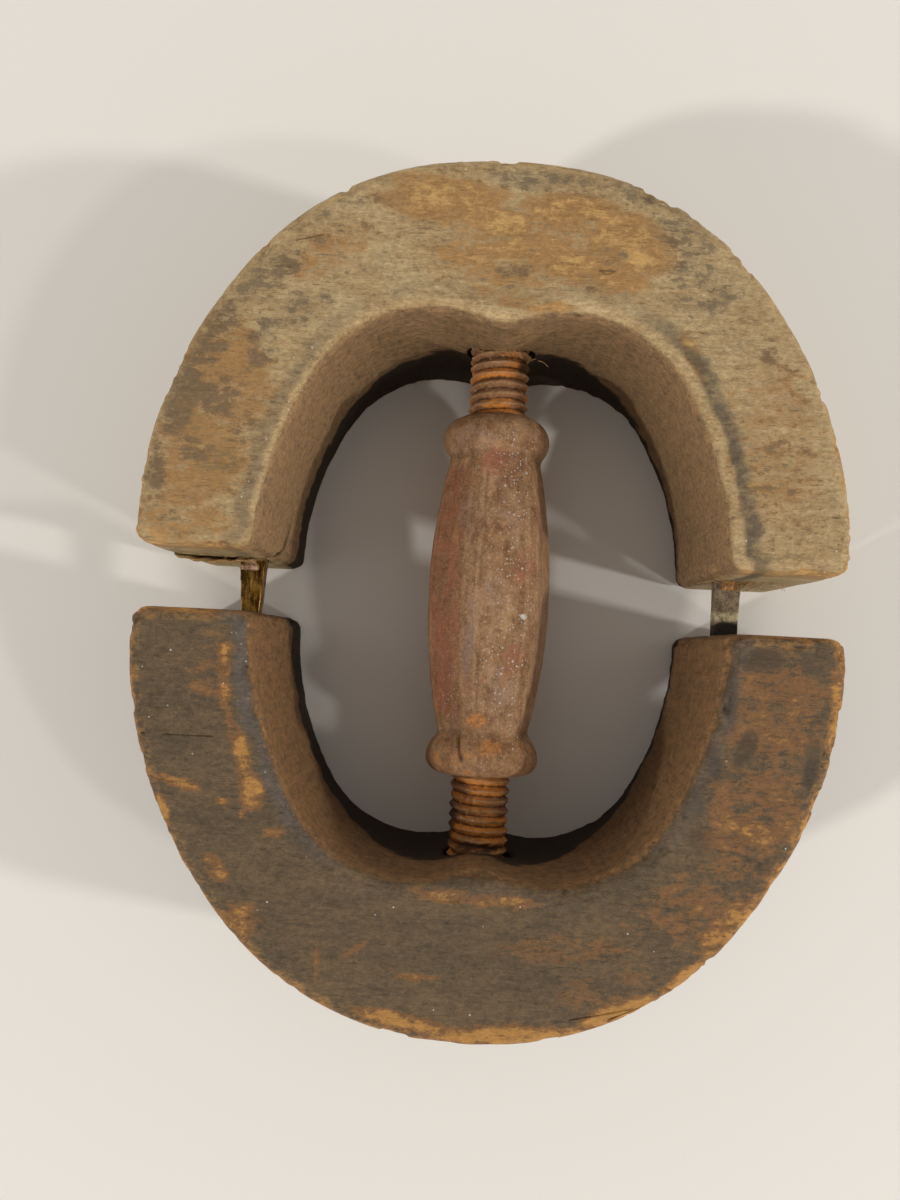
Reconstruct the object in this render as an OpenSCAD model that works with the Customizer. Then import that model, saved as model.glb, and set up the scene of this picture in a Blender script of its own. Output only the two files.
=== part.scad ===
// Hat stretcher: two wooden halves pushed apart by an iron turnbuckle
// X runs across the hat, Y from its front to its back, Z up from the table, in millimetres

/* [Body] */
// Gap between the end faces of the two halves
gap = 13.2; // [8:0.1:18]
// Width across the arms
body_w = 161; // [152:0.5:172]
// Depth of the back half from its end faces to its crown
back_depth = 90; // [86:0.1:100]
// Depth of the front half from its end faces to its crown
front_depth = 95.2; // [90:0.1:105]
// Height of both halves
body_h = 56; // [50:0.5:70]

/* [Outline] */
// Radius of the back half at its crown
back_crown_r = 110; // [90:1:140]
// Radius of the front half at its crown
front_crown_r = 90; // [80:1:140]
// Radius of the back half at its shoulders
back_shoulder_r = 66; // [60:0.5:74]
// Radius of the front half at its shoulders
front_shoulder_r = 71; // [60:0.5:74]
// Half angle of the crown arc
crown_a = 8; // [5:0.5:12]
// Angle at which a shoulder runs into a side
shoulder_a = 42; // [38:0.5:46]
// Radius of the corner between a side and an end face
corner_r = 4; // [3.2:0.1:8]
// Radius of the rounded outer edges
edge_r = 3; // [1:0.1:3.2]

/* [Hand space] */
// Width between the arms at the end faces, at the top
hand_w = 105.8; // [98:0.2:110]
// Width between the arms at the end faces, at the table
hand_foot_w = 103.2; // [98:0.2:108]
// Depth of the hand space in the back half, from its end faces
back_hand_depth = 55; // [51:0.5:58]
// Depth of the hand space in the front half, from its end faces
front_hand_depth = 58; // [54:0.5:60]
// Radius of the two lobes beside the screw
lobe_r = 30; // [28:0.5:33]
// Distance of a lobe's centre from the screw
lobe_x = 15; // [12:0.5:16]
// Angle at which a lobe runs into a side wall
lobe_a = 30; // [24:0.5:34]
// Radius of the corner between the hand space and an end face
mouth_r = 3; // [2:0.1:6]
// Rounding of the top inner edge
rim_r = 4; // [1:0.1:6]
// Rounding of the bottom inner edge
foot_r = 1.6; // [0.5:0.1:4]
// Radius of the screw boss
boss_r = 14; // [11:0.5:16]

/* [Turnbuckle] */
// Height of the screw above the table
screw_z = 28; // [24:0.5:32]
// Diameter of the threaded studs
stud_d = 15.8; // [12:0.1:17]
// Length of back stud that shows between wood and grip
back_stud_bare = 14.2; // [12:0.1:20]
// Length of each stud inside the grip
stud_in_grip = 28; // [22:0.5:38]
// Length of each stud inside the wood
stud_in_wood = 24; // [23:0.5:28]
// Length of the grip over its beads
grip_len = 88.8; // [80:0.2:92]
// Width of the grip across its flats at the middle
grip_mid_w = 28.6; // [26:0.1:34]
// Width of the grip across its flats beside the beads
grip_end_w = 21.8; // [20:0.1:25]
// Diameter to which the six edges are softened at the middle
grip_edge_d = 31; // [28:0.1:36]
// Diameter of the bead at the back end
back_bead_d = 27.1; // [24:0.1:34]
// Diameter of the bead at the front end
front_bead_d = 28.6; // [24:0.1:34]
// Length of each bead
bead_len = 11.2; // [9:0.1:14]
// Rounding of the back bead at the end of the grip
back_bead_round = 5.6; // [3:0.1:6]
// Rounding of the front bead at the end of the grip
front_bead_round = 3.8; // [3:0.1:6]
// Radius of the hollow between the barrel and each bead
neck_r = 3; // [1.5:0.1:4]
// Angle of the topmost edge of the grip to the left of the top
grip_turn = 18; // [-30:1:30]

/* [Fixings] */
// Width of the square nuts
nut_w = 25; // [21:0.5:28]
// Thickness of the square nuts
nut_t = 10; // [8:0.5:11]
// Wood between the boss face and the nut
nut_cover = 8; // [6:0.5:9]
// Diameter of the washers
washer_d = 25; // [20:0.5:28]
// Thickness of the washers
washer_t = 2.5; // [1.5:0.1:3]

/* [Guides] */
// Distance of the guide tongues from the screw
guide_x = 60; // [57:0.5:63]
// Height of the middle of the tongues
guide_z = 26; // [20:0.5:32]
// Width of the tongues at the wood
guide_w = 6.8; // [5:0.1:8]
// Thickness of the tongues
guide_t = 4; // [2:0.1:6]
// Width of the left tongue past its taper
left_neck_w = 4.8; // [4:0.1:5]
// Width of the right tongue past its taper
right_neck_w = 6.3; // [4:0.1:6.8]
// Length of the taper
guide_taper = 13; // [6:0.5:20]
// Length of the tongues outside the back half
guide_out = 46; // [40:0.5:48]
// Length of the tongues inside the back half
guide_in = 26; // [18:0.5:36]
// Room left past the end of a tongue when the gap is shut
socket_spare = 2; // [1:0.5:5]
// Width of the wooden wedges
wedge_w = 3.6; // [2.5:0.1:4.5]
// Thickness of the wooden wedges at the mouth
wedge_t = 3.2; // [2:0.1:4]
// Length of the wooden wedges
wedge_len = 16; // [10:0.5:24]
// How far the left wedge stands out of the wood
left_wedge_out = 2.8; // [0.5:0.1:3]
// How far the right wedge stands out of the wood
right_wedge_out = 2; // [0.5:0.1:3]

/* [Fits] */
// Clearance around nuts, washers and plugs
fit = 0.3; // [0.1:0.05:0.6]
// Clearance around the studs
stud_fit = 0.08; // [0.02:0.02:0.1]
// Clearance around the tongues in their sockets
slide_fit = 0.4; // [0.2:0.05:0.8]

/* [Hidden] */
$fn = 96;
// How far cutters reach past what they cut
over = 2;
// Steps along each arc of a half's outline, alike inside and outside, and steps in the rounding of its edges
arc_steps = [4, 14, 12, 4, 4, 12, 14, 4];
round_steps = 4;
// The seam lies where both crowns are equally far from the origin
seam_y = (front_depth - back_depth) / 2;
back_end_y = seam_y + gap / 2;
front_end_y = seam_y - gap / 2;
// The boss bulges out between the lobes, tangent to both: how far its centre lies past theirs, and in which direction
boss_rise = sqrt(pow(lobe_r + boss_r, 2) - pow(lobe_x, 2));
boss_a = atan2(boss_rise, -lobe_x);
// Faces of the two bosses
back_boss_y = back_end_y + boss_face(back_hand_depth);
front_boss_y = front_end_y - boss_face(front_hand_depth);
// Nut mortise
mortise_len = nut_t + washer_t + 2 * fit;
mortise_w = max(nut_w, washer_d) + 2 * fit;
mortise_top = screw_z + mortise_w / 2;
plug_h = screw_z - mortise_w / 2;
// Grip, between its two bead ends
grip_back_y = back_boss_y - back_stud_bare;
grip_mid_y = grip_back_y - grip_len / 2;
front_stud_bare = grip_back_y - grip_len - front_boss_y;
barrel_len = grip_len - 2 * bead_len;
stud_chamfer = stud_d / 10;
guide_tip = guide_w / 4;
wedge_tip = wedge_t / 3;
// How far the hollows beside the beads are sunk into the flats of the barrel
neck_sink = 0.4;
// Part of the width that is left across the corners of a nut
nut_corner = 1.34;
// Edge roundings at the arms' corners leave this much of a corner's radius
corner_rest = 0.6;
arm_edge_r = min(edge_r, corner_r - corner_rest);
mouth_edge_r = min(edge_r, mouth_r - corner_rest);

// Radius of the arc that runs tangent from an arc of radius r about x out to half_w
function outer_arc_r(half_w, x, r, a) = (half_w - x - r * cos(a)) / (1 - cos(a));
// Radius of the arc through the middle and the ends of a bow
function bow_r(length, rise) = (length * length / 4 + rise * rise) / (2 * rise);

// Face of the boss, from the end faces of its half
function boss_face(hand_depth) = hand_depth - lobe_r + boss_rise - boss_r;

// Right-hand arcs of one half, from the boss along the hand space, round the arm and up to the crown:
// [centre, radius, first angle, last angle, 1 if the wood lies inside, edge radii at first and last angle]
function half_arcs(depth, crown_r, shoulder_r, hand_depth, hand_width) =
    let (lobe = [lobe_x, hand_depth - lobe_r],
         boss = [0, lobe[1] + boss_rise],
         crown = [0, depth - crown_r],
         shoulder = crown + (crown_r - shoulder_r) * [sin(crown_a), cos(crown_a)],
         side_r = outer_arc_r(body_w / 2, shoulder[0], shoulder_r, shoulder_a),
         side = shoulder - (side_r - shoulder_r) * [cos(shoulder_a), sin(shoulder_a)],
         corner_x = side[0] + sqrt(pow(side_r - corner_r, 2) - pow(corner_r - side[1], 2)),
         corner_a = atan2(corner_r - side[1], corner_x - side[0]),
         wall_r = outer_arc_r(hand_width / 2, lobe_x, lobe_r, lobe_a),
         wall = lobe - (wall_r - lobe_r) * [cos(lobe_a), sin(lobe_a)],
         mouth_x = wall[0] + sqrt(pow(wall_r + mouth_r, 2) - pow(mouth_r - wall[1], 2)),
         mouth_a = atan2(mouth_r - wall[1], mouth_x - wall[0]),
         rim = [rim_r, foot_r],
         edge = [edge_r, edge_r],
         arm = [arm_edge_r, arm_edge_r],
         mouth = [mouth_edge_r, mouth_edge_r])
    [[boss, boss_r, -90, boss_a - 180, 1, rim, rim],
     [lobe, lobe_r, boss_a, lobe_a, -1, rim, rim],
     [wall, wall_r, lobe_a, mouth_a, -1, rim, mouth],
     [[mouth_x, mouth_r], mouth_r, 180 + mouth_a, 270, 1, mouth, mouth],
     [[corner_x, corner_r], corner_r, -90, corner_a, 1, arm, arm],
     [side, side_r, corner_a, shoulder_a, 1, arm, edge],
     [shoulder, shoulder_r, shoulder_a, 90 - crown_a, 1, edge, edge],
     [crown, crown_r, 90 - crown_a, 90, 1, edge, edge]];

// Points along those arcs: [centre, radius, angle, wood side, edge radii]
function arc_points(arcs) =
    [for (k = [0:len(arcs) - 1])
        let (arc = arcs[k], steps = arc_steps[k], shared = k == 3 || k == len(arcs) - 1 ? 0 : 1)
        for (i = [0:steps - shared])
            let (t = i / steps)
            [arc[0], arc[1], arc[2] + t * (arc[3] - arc[2]), arc[4], arc[5] + t * (arc[6] - arc[5])]];

// One point of the outline at an angle up the rounding of the top edge (end = 0) or the bottom edge (end = 1)
function rounded_point(point, end, up) =
    let (edge = point[4][end],
         reach = point[1] - point[3] * edge * (1 - cos(up)),
         rise = edge * (1 - sin(up)),
         plan = point[0] + reach * [cos(point[2]), sin(point[2])])
    [plan[0], plan[1], end == 0 ? body_h - rise : rise];

// Closed ring around the half: the right-hand points and their mirror images
function half_ring(points, end, up) =
    let (right = [for (point = points) rounded_point(point, end, up)])
    concat(right, [for (i = [len(right) - 2:-1:1]) [-right[i][0], right[i][1], right[i][2]]]);

// Two triangles of a four-cornered face
function split(a, b, c, d) = [[a, b, c], [a, c, d]];

// Half with all its edges rounded, end faces on y = 0 and crown at y = depth
module half_body(depth, crown_r, shoulder_r, hand_depth) {
    top_points = arc_points(half_arcs(depth, crown_r, shoulder_r, hand_depth, hand_w));
    foot_points = arc_points(half_arcs(depth, crown_r, shoulder_r, hand_depth, hand_foot_w));
    ups = [for (i = [0:round_steps]) 90 * i / round_steps];
    rings = concat([for (i = [round_steps:-1:0]) half_ring(foot_points, 1, ups[i])],
                   [for (up = ups) half_ring(top_points, 0, up)]);
    last = len(top_points) - 1;
    count = 2 * last;
    top = (len(rings) - 1) * count;
    walls = [for (k = [0:len(rings) - 2], i = [0:count - 1])
        let (a = k * count + i, b = k * count + (i + 1) % count)
        each split(a, a + count, b + count, b)];
    // Flat faces, as a band of strips from the hand space out to the outline, and its mirror image
    caps = [for (i = [0:(last - 1) / 2 - 1])
        let (right = [i, i + 1, last - i - 1, last - i],
             left = [for (m = right) (count - m) % count])
        each concat(split(right[0], right[1], right[2], right[3]), split(left[3], left[2], left[1], left[0]),
                    split(top + right[3], top + right[2], top + right[1], top + right[0]),
                    split(top + left[0], top + left[1], top + left[2], top + left[3]))];
    polyhedron([for (ring = rings) each ring], concat(walls, caps));
}

// What is cut out of a half for its stud and its nut, from the face of its boss
module screw_cuts() {
    translate([0, -over, screw_z]) rotate([-90, 0, 0])
        cylinder(d = stud_d + 2 * stud_fit, h = stud_in_wood + over + fit);
    translate([-mortise_w / 2, nut_cover, -over]) cube([mortise_w, mortise_len, mortise_top + over]);
}

module half_block(depth, crown_r, shoulder_r, hand_depth) {
    difference() {
        half_body(depth, crown_r, shoulder_r, hand_depth);
        translate([0, boss_face(hand_depth), 0]) screw_cuts();
    }
}

// Places what is modelled from the face of a boss, with the wood on the +Y side
module back_boss() {
    translate([0, back_boss_y, 0]) children();
}

module front_boss() {
    translate([0, front_boss_y, 0]) mirror([0, 1, 0]) children();
}

module back_block() {
    color("tan") difference() {
        translate([0, back_end_y, 0]) half_block(back_depth, back_crown_r, back_shoulder_r, back_hand_depth);
        for (side = [-1, 1])
            translate([side * guide_x - guide_w / 2, back_end_y - over, guide_z - guide_t / 2])
                cube([guide_w, guide_in + over, guide_t + wedge_t]);
    }
}

module front_block() {
    socket_len = guide_out + socket_spare;
    color("saddlebrown") difference() {
        translate([0, front_end_y, 0]) mirror([0, 1, 0])
            half_block(front_depth, front_crown_r, front_shoulder_r, front_hand_depth);
        for (side = [-1, 1])
            translate([side * guide_x, front_end_y + over, guide_z]) rotate([90, 0, 0])
                linear_extrude(socket_len + over) square([guide_w, guide_t] + 2 * slide_fit * [1, 1], center = true);
    }
}

// Two opposite flats of the grip, bowed along its length
module grip_flats() {
    r = bow_r(barrel_len, (grip_mid_w - grip_end_w) / 2);
    linear_extrude(2 * grip_mid_w, center = true) intersection() {
        square([grip_mid_w, barrel_len + bead_len], center = true);
        translate([grip_mid_w / 2 - r, 0]) circle(r, $fn = 480);
        translate([r - grip_mid_w / 2, 0]) circle(r, $fn = 480);
    }
}

// Round bow that softens the six edges of the grip
module grip_round() {
    end_d = grip_end_w * grip_edge_d / grip_mid_w;
    r = bow_r(barrel_len, (grip_edge_d - end_d) / 2);
    rotate([-90, 0, 0]) rotate_extrude() intersection() {
        translate([0, -(barrel_len + bead_len) / 2]) square([grip_edge_d, barrel_len + bead_len]);
        translate([grip_edge_d / 2 - r, 0]) circle(r, $fn = 480);
    }
}

// Half the profile of a bead, from its widest place up, with its edge rounded off
module bead_profile(bead_d, round) {
    square([bead_d / 2 - round, round]);
    intersection() {
        translate([bead_d / 2 - round, 0]) circle(round);
        square([bead_d / 2, round]);
    }
}

// Profile of the hollow between the barrel and a bead, from the bead's widest place up
module neck_profile(bead_d, round) {
    bead_x = bead_d / 2 - round;
    hollow_x = grip_end_w / 2 + neck_r - neck_sink;
    hollow_y = sqrt(pow(round + neck_r, 2) - pow(hollow_x - bead_x, 2));
    difference() {
        polygon([[0, 0], [bead_x, 0], [hollow_x, hollow_y], [0, hollow_y]]);
        translate([hollow_x, hollow_y]) circle(neck_r);
    }
}

// Round bead at one end of the grip with its neck, end = 1 at the back and -1 at the front
module bead(end, bead_d, end_round) {
    neck_round = bead_len - end_round;
    translate([0, end * (grip_len / 2 - end_round), 0]) rotate([-90 * end, 0, 0]) rotate_extrude() {
        bead_profile(bead_d, end_round);
        mirror([0, 1]) {
            bead_profile(bead_d, neck_round);
            neck_profile(bead_d, neck_round);
        }
    }
}

module grip() {
    color("sienna") translate([0, grip_mid_y, screw_z]) rotate([0, -grip_turn, 0]) difference() {
        union() {
            intersection() {
                grip_round();
                grip_flats();
                rotate([0, 60, 0]) grip_flats();
                rotate([0, 120, 0]) grip_flats();
            }
            bead(1, back_bead_d, back_bead_round);
            bead(-1, front_bead_d, front_bead_round);
        }
        rotate([90, 0, 0]) cylinder(d = stud_d + 2 * stud_fit, h = grip_len + over, center = true);
    }
}

// Stud along the screw axis, with chamfered ends
module stud(bare) {
    length = stud_in_wood + bare + stud_in_grip;
    translate([0, stud_in_wood, screw_z]) rotate([90, 0, 0]) rotate_extrude()
        polygon([[0, 0], [stud_d / 2 - stud_chamfer, 0], [stud_d / 2, stud_chamfer],
                 [stud_d / 2, length - stud_chamfer], [stud_d / 2 - stud_chamfer, length], [0, length]]);
}

module back_stud() {
    color("peru") back_boss() stud(back_stud_bare);
}

module front_stud() {
    color("peru") front_boss() stud(front_stud_bare);
}

// Square nut with its corners turned off
module nut() {
    translate([0, nut_cover + fit / 2 + nut_t / 2, screw_z]) rotate([90, 0, 0]) difference() {
        intersection() {
            cube([nut_w, nut_w, nut_t], center = true);
            cylinder(d = nut_w * nut_corner, h = nut_t + over, center = true);
        }
        cylinder(d = stud_d + 2 * stud_fit, h = nut_t + over, center = true);
    }
}

module back_nut() {
    color("dimgray") back_boss() nut();
}

module front_nut() {
    color("dimgray") front_boss() nut();
}

// Washer between the nut and the outer wall of its mortise
module washer() {
    translate([0, nut_cover + mortise_len - fit / 2, screw_z]) rotate([90, 0, 0]) difference() {
        cylinder(d = washer_d, h = washer_t);
        translate([0, 0, -over]) cylinder(d = stud_d + 2 * fit, h = washer_t + 2 * over);
    }
}

module back_washer() {
    color("gray") back_boss() washer();
}

module front_washer() {
    color("gray") front_boss() washer();
}

// Wooden plug that closes the mortise from the underside, set back from the table by the fit
module nut_plug() {
    translate([-mortise_w / 2, nut_cover, fit]) cube([mortise_w, mortise_len, plug_h - fit]);
}

module back_nut_plug() {
    color("burlywood") back_boss() nut_plug();
}

module front_nut_plug() {
    color("burlywood") front_boss() nut_plug();
}

// Flat tongue through the gap: straight in the back half, tapered outside it, with a chamfered tip
module guide(neck_w) {
    half_plan = [[guide_w / 2, guide_in], [guide_w / 2, 0], [neck_w / 2, -guide_taper],
                 [neck_w / 2, guide_tip - guide_out], [neck_w / 2 - guide_tip, -guide_out]];
    translate([0, back_end_y, guide_z]) linear_extrude(guide_t, center = true)
        polygon(concat(half_plan, [for (i = [len(half_plan) - 1:-1:0]) [-half_plan[i][0], half_plan[i][1]]]));
}

module left_guide() {
    color("darkgoldenrod") translate([-guide_x, 0, 0]) guide(left_neck_w);
}

module right_guide() {
    color("dimgray") translate([guide_x, 0, 0]) guide(right_neck_w);
}

// Where a wedge lies: on its tongue, at the mouth of the mortise in the back half
module wedge_place(x, out) {
    translate([x, back_end_y - out, guide_z + guide_t / 2]) children();
}

module left_guide_wedge() {
    color("rosybrown") wedge_place(-guide_x, left_wedge_out) translate([0, 0, wedge_t / 2]) rotate([-90, 0, 0])
        cylinder(d1 = wedge_t, d2 = wedge_t - wedge_tip, h = wedge_len);
}

module right_guide_wedge() {
    color("peru") wedge_place(guide_x, right_wedge_out) translate([wedge_w / 2, 0, 0]) rotate([90, 0, -90])
        linear_extrude(wedge_w) polygon([[0, 0], [-wedge_len, 0], [-wedge_len, wedge_t - wedge_tip], [0, wedge_t]]);
}

back_block();
front_block();
grip();
back_stud();
front_stud();
back_nut();
front_nut();
back_washer();
front_washer();
back_nut_plug();
front_nut_plug();
left_guide();
right_guide();
left_guide_wedge();
right_guide_wedge();
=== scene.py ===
"""Hat stretcher: worn wooden halves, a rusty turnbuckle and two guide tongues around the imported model."""

import itertools
import math

import bmesh
import bpy
import numpy as np
from bpy.props import FloatProperty, FloatVectorProperty, PointerProperty
from mathutils import Matrix, Vector
from mathutils.kdtree import KDTree


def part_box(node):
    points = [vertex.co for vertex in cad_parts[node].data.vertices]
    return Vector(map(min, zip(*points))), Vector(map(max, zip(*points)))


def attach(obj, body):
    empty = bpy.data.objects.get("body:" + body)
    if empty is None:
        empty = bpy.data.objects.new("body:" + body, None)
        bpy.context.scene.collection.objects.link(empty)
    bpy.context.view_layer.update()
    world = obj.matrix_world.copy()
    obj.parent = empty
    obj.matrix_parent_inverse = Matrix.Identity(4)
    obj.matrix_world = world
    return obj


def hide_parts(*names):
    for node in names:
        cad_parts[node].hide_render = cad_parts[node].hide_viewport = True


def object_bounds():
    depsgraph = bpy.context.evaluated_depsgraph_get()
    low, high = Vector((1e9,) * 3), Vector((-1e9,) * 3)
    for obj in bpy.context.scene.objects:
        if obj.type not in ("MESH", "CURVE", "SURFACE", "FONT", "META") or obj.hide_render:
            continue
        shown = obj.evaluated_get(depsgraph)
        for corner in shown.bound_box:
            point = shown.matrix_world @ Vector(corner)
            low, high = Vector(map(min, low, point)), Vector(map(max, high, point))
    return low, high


bl_info = {
    "name": "Hat Stretcher",
    "version": (1, 0, 0),
    "blender": (4, 5, 0),
    "location": "3D View > Sidebar > Hat Stretcher",
    "description": "Dresses the hat stretcher in worn wood, rusty iron and old brass",
    "category": "Object",
}

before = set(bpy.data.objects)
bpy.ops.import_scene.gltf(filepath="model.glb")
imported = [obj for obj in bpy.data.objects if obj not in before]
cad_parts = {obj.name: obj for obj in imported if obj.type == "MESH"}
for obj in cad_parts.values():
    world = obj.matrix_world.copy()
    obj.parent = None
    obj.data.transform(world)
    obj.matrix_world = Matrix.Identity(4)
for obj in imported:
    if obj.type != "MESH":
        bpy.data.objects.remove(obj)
CAD_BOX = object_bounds()
MM = 0.001

# Worn and stained patches on the top faces: x, y, half length, half width in mm, turn in degrees, strength
BACK_BARE = [
    (-14, 88, 17, 6, -6, 0.8),
    (-1, 84, 8, 3.5, 0, 0.95),
    (14, 87, 13, 5, 0, 0.85),
    (27, 81, 11, 7, -15, 0.95),
    (20, 74, 13, 5, -8, 0.85),
    (2, 76, 22, 9, 0, 0.62),
    (4, 67, 13, 2.5, -8, 0.65),
    (-61, 48, 11, 18, 20, 0.74),
    (-69, 40, 3, 5, 0, 0.85),
    (-65, 30, 12, 12, 0, 0.7),
    (-68, 16, 11, 9, 0, 0.56),
    (-40, 76, 16, 6, 35, 0.45),
    (42.5, 56, 1.6, 7, 30, 0.95),
    (62, 36, 13, 24, 8, 0.48),
]
BACK_STAIN = [
    (-62, 40, 15, 27, 10, 0.55),
    (64, 30, 13, 24, 0, 0.5),
    (-53, 70, 11, 5, 40, 0.8),
    (-64, 56, 5, 11, -28, 0.95),
    (-70, 43, 4.5, 11, -12, 1.0),
    (-62, 43, 7, 6, 0, 0.9),
    (-53, 55, 5, 8, -30, 0.75),
    (-45, 63, 8, 5, 40, 0.7),
    (-56, 36, 5, 5, 0, 0.75),
    (-67, 31, 6, 4, 0, 0.8),
    (-75, 27, 3, 9, 0, 0.8),
    (12, 93.5, 24, 3, -4, 0.75),
    (30, 92, 14, 4, -16, 0.75),
    (38, 84, 9, 6, -30, 0.8),
    (44, 71, 12, 8, -35, 0.65),
    (2, 73.5, 5, 2, 0, 0.85),
    (23, 78, 4, 3, 0, 0.8),
    (19, 71, 5, 1.6, 0, 0.8),
    (58, 58, 12, 10, -30, 0.4),
    (-34, 84, 16, 6, 22, 0.5),
    (-22, 70, 18, 8, 0, 0.4),
]
FRONT_BARE = [
    (-57.8, -19, 1.7, 9, 3, 0.85),
    (-56.4, -29, 1.0, 5, 10, 0.78),
    (-53, -37, 1.9, 8, 14, 0.95),
    (-50.6, -44, 3.0, 5, 12, 1.0),
    (-67, -43, 6, 1.2, -14, 1.0),
    (-70.5, -49.5, 1.6, 4.5, 20, 1.0),
    (-57.4, -46.7, 1.8, 1.0, -25, 0.9),
    (-52.6, -49.4, 0.8, 1.4, 0, 0.9),
    (-63, -22, 4, 3, 0, 0.62),
    (-45, -53, 3.6, 1.6, 10, 0.7),
    (-57.8, -62, 2.2, 4, 35, 0.85),
    (-52.5, -73, 5, 4.5, 0, 0.8),
    (-34.6, -82, 0.8, 5, 0, 0.75),
    (-26, -78, 4.5, 1.0, 35, 0.65),
    (-11.6, -83.5, 6, 0.8, 0, 0.9),
    (0, -65.5, 16, 1.8, -3, 0.85),
    (-15, -93.5, 12, 2, -9, 1.0),
    (9, -96, 18, 2.8, 2, 1.25),
    (33, -90, 11, 2.8, 20, 1.15),
    (48, -81, 7, 2.6, 38, 1.1),
    (57, -70, 10, 5, 42, 0.92),
    (68, -58, 2.6, 8, -32, 1.1),
    (73.5, -45, 2, 8, -18, 0.95),
    (78.5, -20, 2.6, 15, 0, 0.95),
    (64, -22, 12, 16, 0, 0.6),
    (60, -46, 12, 16, -15, 0.66),
    (45, -65, 13, 8, 35, 0.6),
    (20, -76, 18, 4, 4, 0.5),
    (30, -83, 14, 5, 15, 0.42),
    (-60, -20, 9, 12, 0, 0.36),
]
FRONT_STAIN = [
    (61, -10, 6, 3, 0, 0.9),
    (54, -18, 2, 8, 5, 0.95),
    (58, -30, 2.6, 5, -20, 0.9),
    (51, -33, 2.2, 5, 15, 0.85),
    (47, -42, 3, 5, 30, 0.85),
    (73, -34, 2.4, 7, 0, 0.85),
    (49, -51, 4, 5, 30, 0.6),
    (35, -61, 8, 4, 15, 0.6),
    (-20, -76, 26, 8, 0, 0.45),
    (12, -80, 24, 9, 0, 0.45),
]
# Patches on top of the grip, written as above
GRIP_RED = [
    (-9.9, -15, 2.5, 8, 0, 1.0), (8.2, 8.4, 3.5, 6, 0, 0.75),
    (6.2, -13, 4, 4, 0, 0.75), (1, 35, 5, 3, 0, 0.6),
]
GRIP_PALE = [(-5, 11.6, 1.6, 4, 0, 0.9), (2.9, 0, 3.5, 9, 0, 0.8), (8, -20, 3, 5, 0, 0.6)]
GRIP_GREY = [
    (-4.4, -5, 1.8, 14, 0, 1.0), (-7, 22, 3, 5, 0, 0.7), (-6, 40, 4, 3, 0, 0.7), (3, -19, 3, 5, 0, 0.6),
]
GRIP_FRESH = [(-1.6, -27.5, 3, 2, 0, 1), (2, -34, 4, 2.5, 0, 0.9)]
# Where the grip's painted glints gather
GRIP_BRIGHT = [
    (-7.5, -24, 2.2, 4, 0, 1), (6, 31, 5, 10, 0, 1), (5, -4, 6, 24, 0, 0.8), (7, -33, 3, 2, 0, 0.8),
]
# Split of the back half: along the left end face, then along the wall of the hand space, in mm
END_SPLIT = [(-78, 9.2, 37), (-71, 9.2, 35.5), (-64, 9.2, 34.5), (-57, 9.2, 33.5), (-53.4, 9.4, 31)]
WALL_SPLIT = [(-53.2, 9.6, 30), (-53, 12, 27), (-52.6, 16, 24), (-52.4, 22, 22)]
# Fine marks on the top faces, x and y in mm: a knot and a scratch on the back half, cracks on the front
KNOT = [(20.7, 74.2), (21.7, 74.8), (23, 74.8), (24.1, 74.3), (23, 73.7), (21.7, 73.7), (20.7, 74.2)]
SCRATCH = [(-46.5, 78), (-44, 79), (-41, 79.6)]
CRACKS = [
    [(-76, -32.8), (-68, -32.6), (-60, -32.2)],
    [(22, -91.6), (30, -90), (36, -88.6)],
    [(31, -91.6), (38, -89), (43, -86.5)],
]
# Height in mm at which a half's walls are plain: above the mortises and below the rounded edges
CLEAR_Z = 48
# Length of a stud inside the wood and of a bead of the grip, in mm
STUD_IN_WOOD = 24
BEAD = 11.2
# Height in mm of the painted shade at the foot of the hand space's walls, on the left and the right arm
ARM_FOOT = (12, 5)
# Room in mm on each side for a wedge's battered head, at a flare of 1
HEAD_ROOM = 2
# Tones as they look on screen, 0 to 1 each: dust and painted glints; painted shade and dark marks
DUST_AND_GLINT = (0.86, 0.84, 0.8)
SHADE_AND_MARK_BLACK = (0.1, 0.075, 0.05)


def length(name, description, default):
    """A size in metres for a panel."""
    return FloatProperty(
        name=name, description=description, default=default, min=0, precision=5, unit="LENGTH",
    )


def power(name, description, default):
    """The power of a lamp in watts for a panel."""
    return FloatProperty(name=name, description=description, default=default, min=0, unit="POWER")


def tone(name, description, red, green, blue):
    """A colour for a panel, as it looks on screen, each part from 0 to 255."""
    return FloatVectorProperty(
        name=name, description=description, size=3, min=0, max=1, subtype="COLOR_GAMMA",
        default=(red / 255, green / 255, blue / 255),
    )


class BackWoodSettings(bpy.types.PropertyGroup):
    """Mesh size and tones of the back half, the paler one"""

    mesh: length("Mesh size", "Size of the carved faces", 0.0007)
    plain: tone("Plain", "Tan wood of the top face", 188, 164, 122)
    deep: tone("Deep", "Brown streaks of the top face", 166, 137, 95)
    stain: tone("Stain", "Grey stain in the pores", 106, 90, 68)
    bare: tone("Worn", "Orange wood where the surface is worn off", 162, 118, 67)
    pale: tone("Pale", "Pale wood where it is worn most", 196, 156, 96)
    wall: tone("Wall", "Walls of the hand space", 162, 127, 88)
    band: tone("Band", "Dark band beside the hand space", 90, 79, 65)


class FrontWoodSettings(bpy.types.PropertyGroup):
    """Mesh size and tones of the front half, the darker one"""

    mesh: length("Mesh size", "Size of the carved faces", 0.0007)
    plain: tone("Plain", "Handled skin of the top face", 112, 91, 64)
    deep: tone("Deep", "Darker streaks of the top face", 92, 76, 55)
    stain: tone("Stain", "Grey stain in the pores", 70, 60, 47)
    bare: tone("Worn", "Red-brown wood where the skin is thin", 132, 92, 54)
    pale: tone("Pale", "Orange wood where it is worn most", 182, 132, 68)
    wall: tone("Wall", "Walls of the hand space", 144, 106, 68)
    band: tone("Band", "Dark band beside the hand space", 94, 86, 80)


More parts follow.
